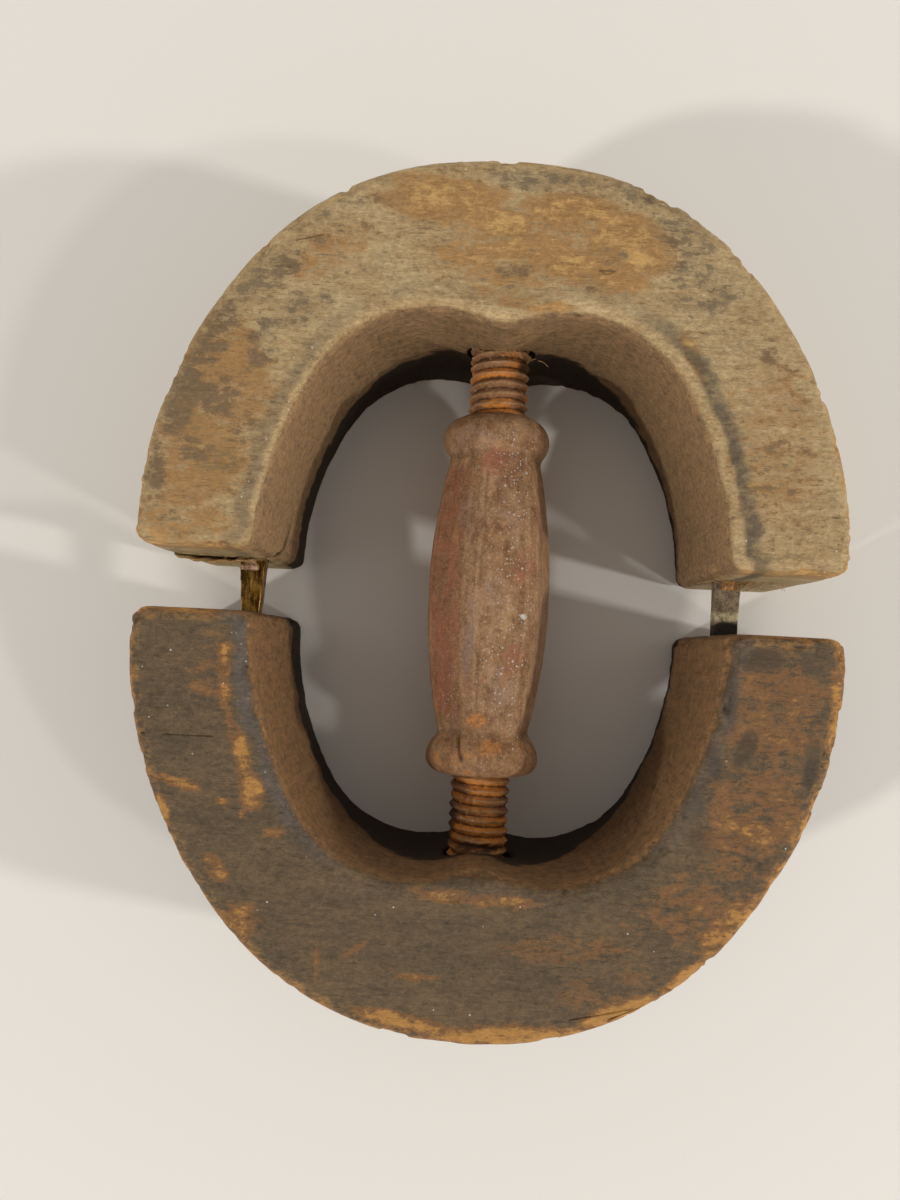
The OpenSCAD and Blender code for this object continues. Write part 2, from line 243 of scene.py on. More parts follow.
class IronSettings(bpy.types.PropertyGroup):
    """Sizes and tones of the turnbuckle"""

    mesh: length("Mesh size", "Size of the cast faces", 0.0004)
    pitch: length("Pitch", "Pitch of the two threads", 0.0025)
    thread_depth: length("Thread depth", "Depth of the threads", 0.0013)
    rust: tone("Rust", "Pinkish brown rust of the grip", 138, 97, 64)
    red_rust: tone("Red rust", "Redder rust on the left flats", 156, 99, 70)
    grey_rust: tone("Grey rust", "Greyer skin in places", 142, 116, 102)
    pale_rust: tone("Pale rust", "Paler skin on the flats", 170, 134, 96)
    orange_rust: tone("Orange rust", "Fresh rust at the beads and threads", 198, 125, 54)
    dark_iron: tone("Dark iron", "Grease and dirt in the grooves", 48, 32, 19)


class TongueSettings(bpy.types.PropertyGroup):
    """Sizes and tones of the guide tongues and their wedges"""

    mesh: length("Mesh size", "Size of the tongues' faces", 0.00035)
    wedge_mesh: length("Wedge mesh size", "Size of the wedges' faces", 0.00022)
    brass: tone("Brass", "Old brass of the left tongue", 168, 126, 56)
    brown_brass: tone("Brown brass", "Tarnish on the left tongue", 74, 50, 20)
    steel: tone("Iron", "Mottled iron of the right tongue", 150, 130, 102)
    pale_steel: tone("Pale iron", "Pale patch on the right tongue", 206, 190, 148)
    black_steel: tone("Black iron", "Dark scale on the right tongue", 92, 80, 62)
    peg: tone("Peg", "Pinkish wood of the round peg", 206, 166, 134)
    wedge: tone("Wedge", "Orange wood of the square wedge", 200, 142, 86)
    splinter: tone("Splinter", "Torn fibres at the back half's ends", 184, 142, 90)


class StageSettings(bpy.types.PropertyGroup):
    """Floor and light"""

    floor: tone("Floor", "Plain pale floor", 232, 226, 217)
    lamp_size: length("Lamp size", "Width of the lamps", 0.13)
    sky_low: FloatProperty(name="Low light", description="Brightness low down", default=1.5, min=0)
    sky_high: FloatProperty(name="High light", description="Brightness overhead", default=0.36, min=0)
    right_lamp: power("Right lamp", "Power of the low lamp on the right", 23)
    high_lamp: power("High lamp", "Power of the high lamp on the right", 8)
    left_lamp: power("Left lamp", "Power of the lamp on the left", 20)


def linear(colour):
    """Scene colour of a tone given as it looks on screen."""
    return [*(c / 12.92 if c <= 0.04045 else ((c + 0.055) / 1.055) ** 2.4 for c in colour), 1]


# Shaping meshes

def smooth(value, low, high):
    """0 below low, 1 above high, with a soft step between."""
    t = np.clip((value - low) / (high - low), 0, 1)
    return t * t * (3 - 2 * t)


def cell_value(cell, seed):
    """Fixed number from 0 to 1 for each cell of the noise lattice."""
    mixed = cell[:, 0] * 73856093 ^ cell[:, 1] * 19349663 ^ cell[:, 2] * 83492791 ^ seed * 40503
    mixed = (mixed ^ mixed >> 13) * 1274126177
    return (mixed ^ mixed >> 16 & 0xFFFF) % 65536 / 65535


def noise(points, size, seed):
    """Smooth noise from 0 to 1; size is the length in mm of a wave, one for all axes or one for each."""
    place = points / np.asarray(size, float)
    base = np.floor(place).astype(np.int64)
    part = place - base
    part = part * part * (3 - 2 * part)
    total = np.zeros(len(points))
    for corner in itertools.product((0, 1), repeat=3):
        weight = np.where(corner, part, 1 - part).prod(axis=1)
        total += weight * cell_value(base + corner, seed)
    return total


def ragged(points, seed):
    """Noise from about -1 to 1 in streaks along the grain, for the edges of patches."""
    coarse = noise(points, (10, 4, 4), seed)
    middle = noise(points, (5, 1.8, 1.8), seed + 1)
    fine = noise(points, (2.4, 0.9, 0.9), seed + 2)
    return 2 * (0.45 * coarse + 0.32 * middle + 0.23 * fine) - 1


def soft_spots(points, spots):
    """Strength from 0 to 1 of a list of oval spots seen from above."""
    strength = np.zeros(len(points))
    for x, y, half_x, half_y, turn, level in spots:
        along = np.array((math.cos(math.radians(turn)), math.sin(math.radians(turn))))
        off = points[:, :2] - (x, y)
        u = off @ along / half_x
        v = off @ (-along[1], along[0]) / half_y
        strength = np.maximum(strength, level * smooth(1.6 - np.hypot(u, v), 0, 1.2))
    return strength


def read(items, name, width, kind=float):
    """One property of a mesh's points or edges as an array."""
    flat = np.empty(len(items) * width, kind)
    items.foreach_get(name, flat)
    return flat.reshape(-1, width)


class Skin:
    """Points of a piece in mm, with their normals, their neighbours and the box they are kept in."""

    def __init__(self, piece):
        mesh = piece.data
        self.piece = piece
        self.points = read(mesh.vertices, "co", 3) / MM
        self.normals = read(mesh.vertices, "normal", 3)
        self.edges = read(mesh.edges, "vertices", 2, np.int32)
        self.lowest = self.points.min(0)
        self.highest = self.points.max(0)

    def spread(self, values):
        """Mean over each point's edges of a value that each edge has."""
        a, b = self.edges.T
        size = len(self.points)
        total = np.bincount(a, values, size) + np.bincount(b, values, size)
        return total / np.maximum(np.bincount(a, None, size) + np.bincount(b, None, size), 1)

    def blur(self, values, rounds):
        """A value of each point evened out over its neighbours."""
        a, b = self.edges.T
        for _ in range(rounds):
            values = self.spread((values[a] + values[b]) / 2)
        return values

    def bulge(self, rounds):
        """Mean curvature, in 1/mm: positive on outer edges."""
        a, b = self.edges.T
        step = self.points[b] - self.points[a]
        turn = ((self.normals[b] - self.normals[a]) * step).sum(1) / (step * step).sum(1)
        return self.blur(self.spread(turn), rounds)

    def relax(self, share, rounds):
        """Evens out the surface; share says how much at each point."""
        for _ in range(rounds):
            even = np.stack([self.blur(self.points[:, k], 1) for k in range(3)], 1)
            self.points += np.reshape(share, (-1, 1)) * (even - self.points)

    def push(self, amount):
        """Moves each point out along its normal, in mm."""
        self.points += self.normals * np.asarray(amount)[:, None]

    def store(self):
        """Writes the points back, kept between lowest and highest."""
        kept = np.clip(self.points, self.lowest, self.highest) * MM
        self.piece.data.vertices.foreach_set("co", kept.ravel())
        self.piece.data.update()

    def paint(self, share=1, **marks):
        """Keeps marks for the finish: for each a value of every point, times the share."""
        layers = self.piece.data.attributes
        for name, values in marks.items():
            layer = layers.get(name) or layers.new(name, "FLOAT", "POINT")
            layer.data.foreach_set("value", np.asarray(values * share, np.float32))


def new_piece(name, mesh):
    """An object of the scene with that mesh, shaded smooth."""
    piece = bpy.data.objects.new(name, mesh)
    bpy.context.scene.collection.objects.link(piece)
    mesh.shade_smooth()
    return piece


def even_copy(node, name, size):
    """A new piece with the shape of a CAD node, in even faces of about that size."""
    shape = bmesh.new()
    shape.from_mesh(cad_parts[node].data)
    bmesh.ops.remove_doubles(shape, verts=shape.verts, dist=1e-6)
    mesh = bpy.data.meshes.new(name)
    shape.to_mesh(mesh)
    shape.free()
    piece = new_piece(name, mesh)
    remesh = piece.modifiers.new("Even faces", "REMESH")
    remesh.mode = "VOXEL"
    remesh.voxel_size = size
    remesh.use_smooth_shade = True
    graph = bpy.context.evaluated_depsgraph_get()
    even = bpy.data.meshes.new_from_object(piece.evaluated_get(graph))
    piece.modifiers.clear()
    piece.data = even
    bpy.data.meshes.remove(mesh)
    even.name = name
    return piece


def settle(piece, body, slot, finish, *nodes):
    """Gives a piece its finish and its body, and hides the CAD nodes it stands for; slot is not used."""
    piece.data.materials.clear()
    piece.data.materials.append(finish)
    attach(piece, body)
    if nodes:
        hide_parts(*nodes)


def grid_mesh(name, skins):
    """One mesh of skins over rings of points in mm, each capped at both ends."""
    places, faces = [], []
    for rings in skins:
        first = len(places)
        count, sides = rings.shape[:2]
        for low in range(first, first + (count - 1) * sides, sides):
            high = low + sides
            for i in range(sides):
                after = (i + 1) % sides
                faces.append((low + i, low + after, high + after, high + i))
        faces.append(tuple(range(first + sides - 1, first - 1, -1)))
        faces.append(tuple(range(first + (count - 1) * sides, first + count * sides)))
        places += (rings.reshape(-1, 3) * MM).tolist()
    mesh = bpy.data.meshes.new(name)
    mesh.from_pydata(places, [], faces)
    shape = bmesh.new()
    shape.from_mesh(mesh)
    bmesh.ops.recalc_face_normals(shape, faces=shape.faces)
    shape.to_mesh(mesh)
    shape.free()
    return mesh


# Finishes

class Field:
    """A value of a finish that Python's operators work on."""

    def __init__(self, finish, socket):
        self.finish = finish
        self.socket = socket

    def math(self, operation, *values):
        """A value worked out by one Math node."""
        node = self.finish.node("ShaderNodeMath", {"operation": operation}, dict(enumerate(values)))
        return Field(self.finish, node.outputs[0])

    def __add__(self, other):
        return self.math("ADD", self, other)

    def __sub__(self, other):
        return self.math("SUBTRACT", self, other)

    def __rsub__(self, other):
        return self.math("SUBTRACT", other, self)

    def __mul__(self, other):
        return self.math("MULTIPLY", self, other)

    __radd__ = __add__
    __rmul__ = __mul__

    def step(self, low, high):
        """0 at low and 1 at high, with a soft step between."""
        settings = {"interpolation_type": "SMOOTHSTEP"}
        node = self.finish.node("ShaderNodeMapRange", settings, {0: self, 1: low, 2: high})
        return Field(self.finish, node.outputs[0])


class Nodes:
    """The nodes of a material or of the light all round."""

    def __init__(self, owner):
        owner.use_nodes = True
        self.tree = owner.node_tree

    def node(self, kind, settings=None, sockets=None):
        """Adds a node: its settings first, then the values or links of its sockets."""
        node = self.tree.nodes.new(kind)
        for key, value in (settings or {}).items():
            setattr(node, key, value)
        for key, value in (sockets or {}).items():
            self.feed(node.inputs[key], value)
        return node

    def feed(self, socket, value):
        """Links a socket to a field or another socket, or sets its value."""
        value = value.socket if isinstance(value, Field) else value
        if isinstance(value, bpy.types.NodeSocket):
            self.tree.links.new(socket, value)
        else:
            socket.default_value = value


class Finish(Nodes):
    """A material that is put together from nodes."""

    def __init__(self, name):
        self.material = bpy.data.materials.new(name)
        super().__init__(self.material)
        self.tree.nodes.clear()
        self.shader = self.node("ShaderNodeBsdfPrincipled")
        self.node("ShaderNodeOutputMaterial", sockets={"Surface": self.shader.outputs[0]})
        here = self.node("ShaderNodeTexCoord").outputs["Object"]
        self.place = self.shade(here, 1 / MM)

    def waves(self, rate, detail, roughness):
        """Noise from -1 to 1, mostly within a half of 0, with that many waves per mm along x, y and z."""
        place = self.node("ShaderNodeVectorMath", {"operation": "MULTIPLY"}, {0: self.place, 1: rate})
        sockets = {"Vector": place.outputs[0], "Scale": 1, "Detail": detail, "Roughness": roughness}
        return Field(self, self.node("ShaderNodeTexNoise", sockets=sockets).outputs[0]) * 2 - 1

    def grains(self, rate, share, radius):
        """1 in spots of up to that radius in mm, in a share of the cells; rate is in cells per mm."""
        place = self.shade(self.place, rate)
        cells = self.node("ShaderNodeTexVoronoi", sockets={"Vector": place, "Scale": 1})
        away = Field(self, cells.outputs["Distance"])
        parts = self.node("ShaderNodeSeparateColor", sockets={0: cells.outputs["Color"]})
        lot = Field(self, parts.outputs[0])
        return (lot.step(1 - share, 1) * (radius * rate) - away).step(0, 0.3 * radius * rate)

    def painted(self, name):
        """A value that was kept for each point of the mesh."""
        node = self.node("ShaderNodeAttribute", {"attribute_name": name})
        return Field(self, node.outputs["Fac"])

    def mix(self, share, first, second):
        """A colour between two colours or tones."""
        sockets = {0: share}
        for key, colour in ((6, first), (7, second)):
            sockets[key] = colour if isinstance(colour, bpy.types.NodeSocket) else linear(colour)
        return self.node("ShaderNodeMix", {"data_type": "RGBA"}, sockets).outputs[2]

    def shade(self, colour, level):
        """A colour made darker or lighter, or a place scaled."""
        sockets = {0: colour, "Scale": level}
        return self.node("ShaderNodeVectorMath", {"operation": "SCALE"}, sockets).outputs[0]

    def close(self, colour, roughness, height, depth, metallic=0.0):
        """Joins the surface's colour, roughness and relief to the shader; depth is in mm."""
        bump = {"Strength": 1.0, "Distance": depth * MM, "Height": height}
        sockets = {
            "Base Color": colour,
            "Roughness": roughness,
            "Metallic": metallic,
            "Specular IOR Level": 0.2,
            "Normal": self.node("ShaderNodeBump", sockets=bump).outputs[0],
        }
        for key, value in sockets.items():
            self.feed(self.shader.inputs[key], value)
        return self.material


def wood_finish(name, wood, roughness, streaks):
    """Old wood with its grain along x: stained, worn to the bare wood in places, dusty and split, with
    painted shade.

    streaks is how strongly the grain shows.
    """
    f = Finish(name)
    grain = f.waves((0.06, 0.6, 0.6), 6, 0.74)
    fibre = f.waves((0.14, 1.3, 1.3), 4, 0.7)
    mottle = f.waves((0.09, 0.13, 0.13), 9, 0.76)
    fleck = f.waves((0.3, 0.48, 0.48), 7, 0.76)
    crumb = f.waves((0.7, 1.1, 1.1), 5, 0.84)
    scrape = f.waves((0.8, 0.8, 0.06), 6, 0.78)
    wall = f.painted("wall")
    streaks = f.painted("side") * 0.4 + streaks
    broken = fleck + mottle * 0.4 + fibre * 0.2 + crumb * 0.25

    lean = mottle * 0.9 + fleck * 0.3 + (grain + fibre) * streaks + crumb * 0.6 + 0.6
    colour = f.mix(lean.step(-0.1, 0.5), wood.stain, wood.deep)
    colour = f.mix(lean.step(0.3, 1.0), colour, wood.plain)
    wear = f.painted("bare") + broken
    colour = f.mix(wear.step(0.35, 0.65) * 0.8, colour, wood.bare)
    colour = f.mix(wear.step(0.75, 1.1) * 0.85, colour, wood.pale)
    stained = (f.painted("stain") * 0.65 + broken).step(0.34, 0.62)
    colour = f.mix(stained * 0.8, colour, wood.stain)
    banded = f.painted("band") * (broken + 0.7).step(0.2, 0.8)
    colour = f.mix(banded * 0.9, colour, wood.band)
    cut = f.mix((scrape * 0.5 + fleck * 0.8 + crumb * 0.5 + 0.7).step(0.0, 1.0), wood.stain, wood.wall)
    colour = f.mix(wall, colour, cut)
    rubbed = f.painted("edge") * (broken + 0.4).step(0.2, 0.9)
    colour = f.mix(rubbed * 0.7, colour, wood.pale)
    pores = f.waves((0.3, 2.0, 2.0), 3, 0.65).step(0.16, 0.42)
    # The light mark brightens the lip and adds painted shade to the walls at the crown
    level = 1 + crumb * 0.6 + fleck * 0.25 + fibre * streaks - pores * 0.2 + f.painted("light") * 0.08
    colour = f.shade(colour, level)
    dust = f.grains(0.5, 0.1, 0.24) + f.grains(0.9, 0.45, 0.17) * f.painted("dust")
    colour = f.mix(dust * 0.75, colour, DUST_AND_GLINT)
    # Painted shade at the foot of the hand space's walls
    grime = (f.painted("grime") + broken * 0.5).step(0.2, 0.8)
    colour = f.mix(grime * 0.9, colour, SHADE_AND_MARK_BLACK)
    # Painted shade inside the splits, which also darkens the scored knot, scratch and cracks
    colour = f.mix(f.painted("split"), colour, SHADE_AND_MARK_BLACK)
    height = (grain + fibre) * streaks + crumb * 0.5 + fleck * 0.5 - pores * 0.3 + wall * scrape * 0.5
    return f.close(colour, roughness + wall * 0.1 + crumb * 0.12, height, 0.36)


def rust_finish(name, iron):
    """Cast iron under old rust: redder on its left flats, paler on its ridges, with painted glints."""
    f = Finish(name)
    streak = f.waves((0.3, 0.07, 0.3), 5, 0.7)
    mottle = f.waves((0.15, 0.1, 0.15), 8, 0.76)
    fleck = f.waves((0.5, 0.4, 0.5), 7, 0.78)
    crumb = f.waves((1.3, 1.3, 1.3), 4, 0.8)
    lean = mottle * 1.3 + fleck * 0.7 + streak * 0.5
    red = (f.painted("red") + mottle * 2.2 + fleck * 0.8).step(0.15, 1.05)
    grey = (f.painted("grey") * 0.4 + f.waves((0.2, 0.07, 0.2), 6, 0.74) + fleck * 0.5).step(0.0, 0.5)
    colour = f.mix((lean + 0.4).step(-0.1, 0.9), iron.rust, iron.pale_rust)
    colour = f.mix(red * 0.9, colour, iron.red_rust)
    colour = f.mix(grey * 0.7, colour, iron.grey_rust)
    ridge = (f.painted("ridge") + lean * 0.6).step(0.3, 1.1)
    colour = f.mix(ridge * 0.5, colour, iron.pale_rust)
    fresh = (f.painted("fresh") + mottle * 0.8 + fleck * 1.1).step(0.35, 1.1)
    colour = f.mix(fresh * 0.7, colour, iron.orange_rust)
    colour = f.mix(f.painted("dirt") * (0.7 + fleck * 1.4), colour, iron.dark_iron)
    colour = f.shade(colour, 1 + crumb * 0.8 + fleck * 0.6 + streak * 0.3)
    # Painted glints: pale specks standing in for highlights, thickest where bright is painted
    bright = f.painted("bright")
    glints = f.grains(1.5, 0.8, 0.24) * (0.3 + bright * 0.6) + f.grains(0.8, 0.5, 0.36) * bright
    colour = f.mix(glints * 0.8 + f.painted("chip") * 0.8, colour, DUST_AND_GLINT)
    height = crumb * 0.7 + fleck * 0.7 + glints * 0.3
    return f.close(colour, 0.48 + crumb * 0.25 - glints * 0.2, height, 0.32)


def thread_finish(name, iron):
    """Rusty thread: bright crests, dirty grooves, turns of different colour, grease in places."""
    f = Finish(name)
    mottle = f.waves((0.3, 0.5, 0.3), 7, 0.76)
    crumb = f.waves((1.2, 1.6, 1.2), 5, 0.82)
    crest = f.painted("crest") + crumb * 0.5
    tint = f.painted("tint") + mottle * 0.9 + crumb * 0.4
    colour = f.mix(tint.step(0.2, 0.8), iron.orange_rust, iron.rust)
    colour = f.mix((mottle + crumb * 0.7).step(0.05, 0.5) * 0.7, colour, iron.red_rust)
    colour = f.mix((crest + mottle * 0.4).step(0.5, 0.95) * 0.6, colour, iron.pale_rust)
    grooved = 1 - (crest + mottle * 0.25).step(0.0, 0.36)
    greasy = (f.painted("grease") + mottle * 0.7 + crumb * 0.5).step(0.3, 0.8)
    colour = f.mix(grooved * 0.8, colour, iron.dark_iron)
    colour = f.mix(greasy * 0.9, colour, iron.dark_iron)
    colour = f.shade(colour, 1.2 + crumb * 0.9)
    specks = f.grains(0.7, 0.3, 0.34)
    colour = f.mix(specks * 0.75, colour, DUST_AND_GLINT)
    return f.close(colour, 0.55 + crumb * 0.2, crumb * 0.9 + mottle * 0.5, 0.26)


def brass_finish(name, tongue):
    """Old brass, tarnished in lengthwise streaks."""
    f = Finish(name)
    streak = f.waves((1.4, 0.09, 1.4), 4, 0.6)
    mottle = f.waves((0.35, 0.3, 0.35), 5, 0.7)
    crumb = f.waves((2.5, 2.5, 2.5), 3, 0.7)
    tarnish = (streak * 0.9 + mottle * 1.2 + crumb * 0.4 + 0.5).step(0.15, 0.9)
    colour = f.mix(tarnish, tongue.brown_brass, tongue.brass)
    return f.close(colour, 0.42 - tarnish * 0.16 + crumb * 0.1, streak * 0.7 + mottle * 0.5, 0.12, 0.8)


def steel_finish(name, tongue):
    """Mottled old iron with dusty specks, a pale patch and a painted shadow on the end that slides in the
    wood.
    """
    f = Finish(name)
    mottle = f.waves((0.8, 0.6, 0.8), 6, 0.76)
    crumb = f.waves((2.2, 2.2, 2.2), 3, 0.75)
    colour = f.mix((mottle * 1.4 + crumb * 0.7 + 0.5).step(0.1, 0.9), tongue.black_steel, tongue.steel)
    patchy = f.painted("pale") * (mottle + 0.6).step(0.3, 0.8)
    colour = f.mix(patchy * 0.8, colour, tongue.pale_steel)
    # Painted shadow of the front half on the tongue's end
    colour = f.mix(f.painted("black") * 0.9, colour, SHADE_AND_MARK_BLACK)
    specks = f.grains(0.8, 0.35, 0.25)
    colour = f.mix(specks * 0.7, colour, DUST_AND_GLINT)
    return f.close(colour, 0.55 + crumb * 0.15, mottle * 0.6 + crumb * 0.5, 0.15, 0.3)


def split_wood_finish(name, plain, along):
    """Freshly split wood with its fibres along one axis: plain is its tone."""
    f = Finish(name)
    rate = [1.8, 1.8, 1.8]
    rate["xyz".index(along)] = 0.1
    fibre = f.waves(rate, 4, 0.65)
    crumb = f.waves((1.8, 1.8, 1.8), 3, 0.7)
    dark = [c * 0.6 for c in plain]
    colour = f.mix((fibre * 1.3 + crumb * 0.4 + 0.5).step(0.1, 0.9), dark, plain)
    colour = f.shade(colour, 1 + crumb * 0.3)
    return f.close(colour, 0.78 + crumb * 0.1, fibre * 0.8 + crumb * 0.4, 0.2)


def plain_iron_finish(name, iron):
    """Dark iron with a little rust, for what lies inside the wood."""
    f = Finish(name)
    mottle = f.waves((0.25, 0.25, 0.25), 5, 0.7)
    crumb = f.waves((2.0, 2.0, 2.0), 3, 0.7)
    colour = f.mix((mottle * 1.3 + crumb * 0.4 + 0.4).step(0.1, 0.9), iron.dark_iron, iron.red_rust)
    return f.close(colour, 0.55 + crumb * 0.2, mottle * 0.5 + crumb * 0.4, 0.15, 0.4)


# The pieces

def plan_distance(points, line):
    """Distance in plan from each point to the nearest point of a line."""
    tree = KDTree(len(line))
    for i, (x, y, _) in enumerate(line):
        tree.insert((x, y, 0), i)
    tree.balance()
    return np.array([tree.find((x, y, 0))[2] for x, y, _ in points])


def path_distance(points, path):
    """Distance from each point to a path, and where along the path its nearest point lies, from 0 to 1."""
    best = np.full(len(points), np.inf)
    share = np.zeros(len(points))
    for k in range(len(path) - 1):
        start, step = np.array(path[k]), np.subtract(path[k + 1], path[k])
        t = np.clip((points - start) @ step / (step @ step), 0, 1)
        away = np.linalg.norm(points - start - t[:, None] * step, axis=1)
        nearer = away < best
        best[nearer] = away[nearer]
        share[nearer] = (k + t[nearer]) / (len(path) - 1)
    return best, share


def mark_top(piece, path, width, depth, dark):
    """Scores a fine line into the top face of a wooden half along a path in plan; sizes in mm."""
    on_top = [(x, y, CAD_BOX[1].z / MM) for x, y in path]
    open_split(piece, on_top, width, 0.6 * width, depth, dark)


def open_split(piece, path, first_width, last_width, depth, dark=1):
    """Presses a split into a wooden half along a path laid on its surface, with finer faces there.

    Sizes are in mm; dark is how black its painted shade is, from 0 to 1.
    """
    shape = bmesh.new()
    shape.from_mesh(piece.data)
    points = np.array([v.co for v in shape.verts]) / MM
    nearest = [np.linalg.norm(points - place, axis=1).argmin() for place in path]
    path = [points[i] for i, _ in itertools.groupby(nearest)]
    near = path_distance(points, path)[0] < first_width + 1.5
    edges = [e for e in shape.edges if near[e.verts[0].index] and near[e.verts[1].index]]
    bmesh.ops.subdivide_edges(shape, edges=edges, cuts=3, use_grid_fill=True)
    shape.to_mesh(piece.data)
    shape.free()
    skin = Skin(piece)
    away, share = path_distance(skin.points, path)
    width = first_width + (last_width - first_width) * share
    open_to = width * (0.6 + 0.8 * noise(skin.points, 1.7, 31)) / 2
    inside = smooth(open_to - away, -0.12, 0.22)
    skin.push(-depth * inside * (0.5 + 0.5 * width / first_width))
    skin.store()
    # Painted shade: the inside of the split is darkened
    old = read(piece.data.attributes["split"].data, "value", 1)[:, 0]
    skin.paint(split=np.maximum(old, dark * inside))


def carve_half(name, node, size, bare, stain, lips, bands, foot, worn_edge, seed):
    """A wooden half with tool marks, waves, nicked edges and the marks its finish needs.

    bare and stain are lists of patches. For the left and the right arm, lips is the width of the pale lip
    beside the hand space and bands the strength of the dark band next to it. foot is the height of the
    painted shade at the walls' foot at the crown, worn_edge the width of the worn outer edge. Lengths are
    in mm.
    """
    piece = even_copy(node, name, size)
    skin = Skin(piece)
    points = skin.points.copy()
    x, y, z = points.T
    level = np.abs(skin.normals[:, 2])
    upright = smooth(0.8 - level, 0, 0.4)
    toward = 1 if y.mean() > 0 else -1
    end_y = y.min() if toward > 0 else y.max()
    # Walls of the hand space face a point a little way inside the half's end faces
    facing = skin.normals[:, 0] * x + skin.normals[:, 1] * (y - end_y - 5 * toward)
    plain_wall = (level < 0.4) & (np.abs(z - CLEAR_Z) < 1.2)
    rim = plan_distance(points, points[plain_wall & (facing < 0)])
    side = plan_distance(points, points[plain_wall & (facing > 0)])
    torn = ragged(points, seed)
    upper = smooth(z, 20, CLEAR_Z)
    arm = smooth(np.abs(x), 25, 45)
    edge = smooth(skin.bulge(3), 0.05, 0.13)
    wall = upright * (1 - smooth(rim, 2, 3) * smooth(z, 30, CLEAR_Z)) * smooth(-facing, -4, 4)
    rubbed = (1 - smooth(side + 2 * torn, 0.2, worn_edge)) * smooth(z + 3 * torn, CLEAR_Z - 3, CLEAR_Z + 4)
    at_top = smooth(z + 6 * torn, CLEAR_Z - 10, CLEAR_Z + 5)
    worn = np.maximum(soft_spots(points, bare) * at_top, 0.9 * rubbed)
    worn = (worn + 0.3 * torn * smooth(worn, 0.1, 0.4)) * (1 - wall)
    dirty = soft_spots(points, stain) * upper
    dirty += 0.3 * torn * smooth(dirty, 0.1, 0.4)
    past_lip = rim - np.interp(x, (-30, 30), lips)
    lip = smooth(rim, 0.6, 1.8) * (1 - smooth(past_lip + torn, -0.8, 1.0))
    band = smooth(past_lip + torn, -0.4, 0.8) * (1 - smooth(past_lip + 2 * torn, 2.2, 4.6))
    band = band * (0.2 + 0.8 * arm) * np.interp(x, (-30, 30), bands)
    # Painted shade: the foot of the walls is darkened, highest at the crown and lower on the arms
    dark_to = foot + (np.where(x < 0, *ARM_FOOT) - foot) * smooth(np.abs(x), 8, 44)
    grime = wall * (1 - smooth(z - dark_to + 4 * torn, -2.5, 2.5))
    # light: the lip beside the hand space is lightened, and the walls at the crown are darkened as painted
    # shade
    light = lip * upper - 2 * wall * (1 - arm)
    outside = upright * (1 - wall) * (1 - upper * smooth(z, CLEAR_Z, CLEAR_Z + 5))

    chewed = 0.4 * noise(points, 9, seed + 5) + 0.35 * noise(points, 3, seed + 6)
    chewed += 0.25 * noise(points, 1.4, seed + 7)
    nicks = 1.1 * smooth(chewed, 0.56, 0.8) + 0.25 * smooth(torn, 0.0, 0.5)
    swell = 0.25 * noise(points, 34, seed + 8) + 0.15 * noise(points, (30, 5, 5), seed + 9)
    gouged = 0.4 * noise(points, (6, 6, 90), seed + 10) + 0.3 * noise(points, (1.8, 1.8, 30), seed + 11)
    skin.push(-swell - gouged * wall - nicks * edge - 0.14 * worn)
    skin.store()
    edge = edge * np.where(rim < side, 0.2, worn_edge / 3)
    dust = smooth(-x, 30, 50) * (1 - smooth(rim, 5, 9))
    skin.paint(upper, band=band, dust=dust, split=0 * x)
    skin.paint(edge=edge, wall=wall, bare=worn, stain=dirty, light=light, side=outside, grime=grime)
    return piece


def make_back_half(wood):
    """The paler half, with the split in its left end."""
    piece = carve_half(
        "back_half_wood", "back_block", wood.mesh, BACK_BARE, BACK_STAIN,
        lips=(2, 3.4), bands=(0.55, 1), foot=28, worn_edge=1.6, seed=11,
    )
    open_split(piece, END_SPLIT, 2.6, 0.7, 3.0)
    open_split(piece, WALL_SPLIT, 2.6, 1.5, 1.2)
    mark_top(piece, KNOT, 0.4, 0.2, 0.7)
    mark_top(piece, SCRATCH, 0.4, 0.25, 0.8)
    finish = wood_finish("back_wood_worn", wood, 0.62, 0.26)
    settle(piece, "back_half", "back_wood", finish, "back_block")


def make_front_half(wood):
    """The darker half."""
    piece = carve_half(
        "front_half_wood", "front_block", wood.mesh, FRONT_BARE, FRONT_STAIN,
        lips=(0.6, 1.4), bands=(1, 0.5), foot=38, worn_edge=3, seed=31,
    )
    for crack in CRACKS:
        mark_top(piece, crack, 0.4, 0.35, 0.75)
    finish = wood_finish("front_wood_worn", wood, 0.54, 0.16)
    settle(piece, "front_half", "front_wood", finish, "front_block")


def torn_strip(lot, start, run, *spans):
    """Rings of a tapered strip of wood that peels off a face towards -y; all sizes in mm.

    Its lift, droop and width are drawn by lot from the three spans.
    """
    lift, droop, width = [lot.uniform(*span) for span in spans]
    rings = []
    for t in np.linspace(0, 1, 8):
        centre = np.array(start) + (run * t, -lift * t * t, -droop * t ** 1.5)
        up = np.array((0, 0, width * (1 - 0.85 * t) / 2))
        back = np.array((0, 0.12, 0))
        rings.append([centre + up, centre + back, centre - up, centre - back])
    return np.array(rings)


def peeled_sliver(end_y):
    """Rings of the sliver below the split, which stands off the end face at y = end_y; all sizes in mm."""
    first_x, run = -77, 20
    first_top, fall = 36, 3
    rings = []
    for t in np.linspace(0, 1, 24):
        x = first_x + run * t
        top = first_top - fall * t
        off = 1.7 * math.sin(math.pi * t) ** 0.6 * (1 - 0.4 * t) + 0.2 * math.sin(31 * t)
        rings.append([
            (x, end_y - off - 0.6, top),
            (x, end_y - off, top + 0.2),
            (x, end_y + 0.5, top - 8),
            (x, end_y - 0.1, top - 9),
        ])
    return np.array(rings)


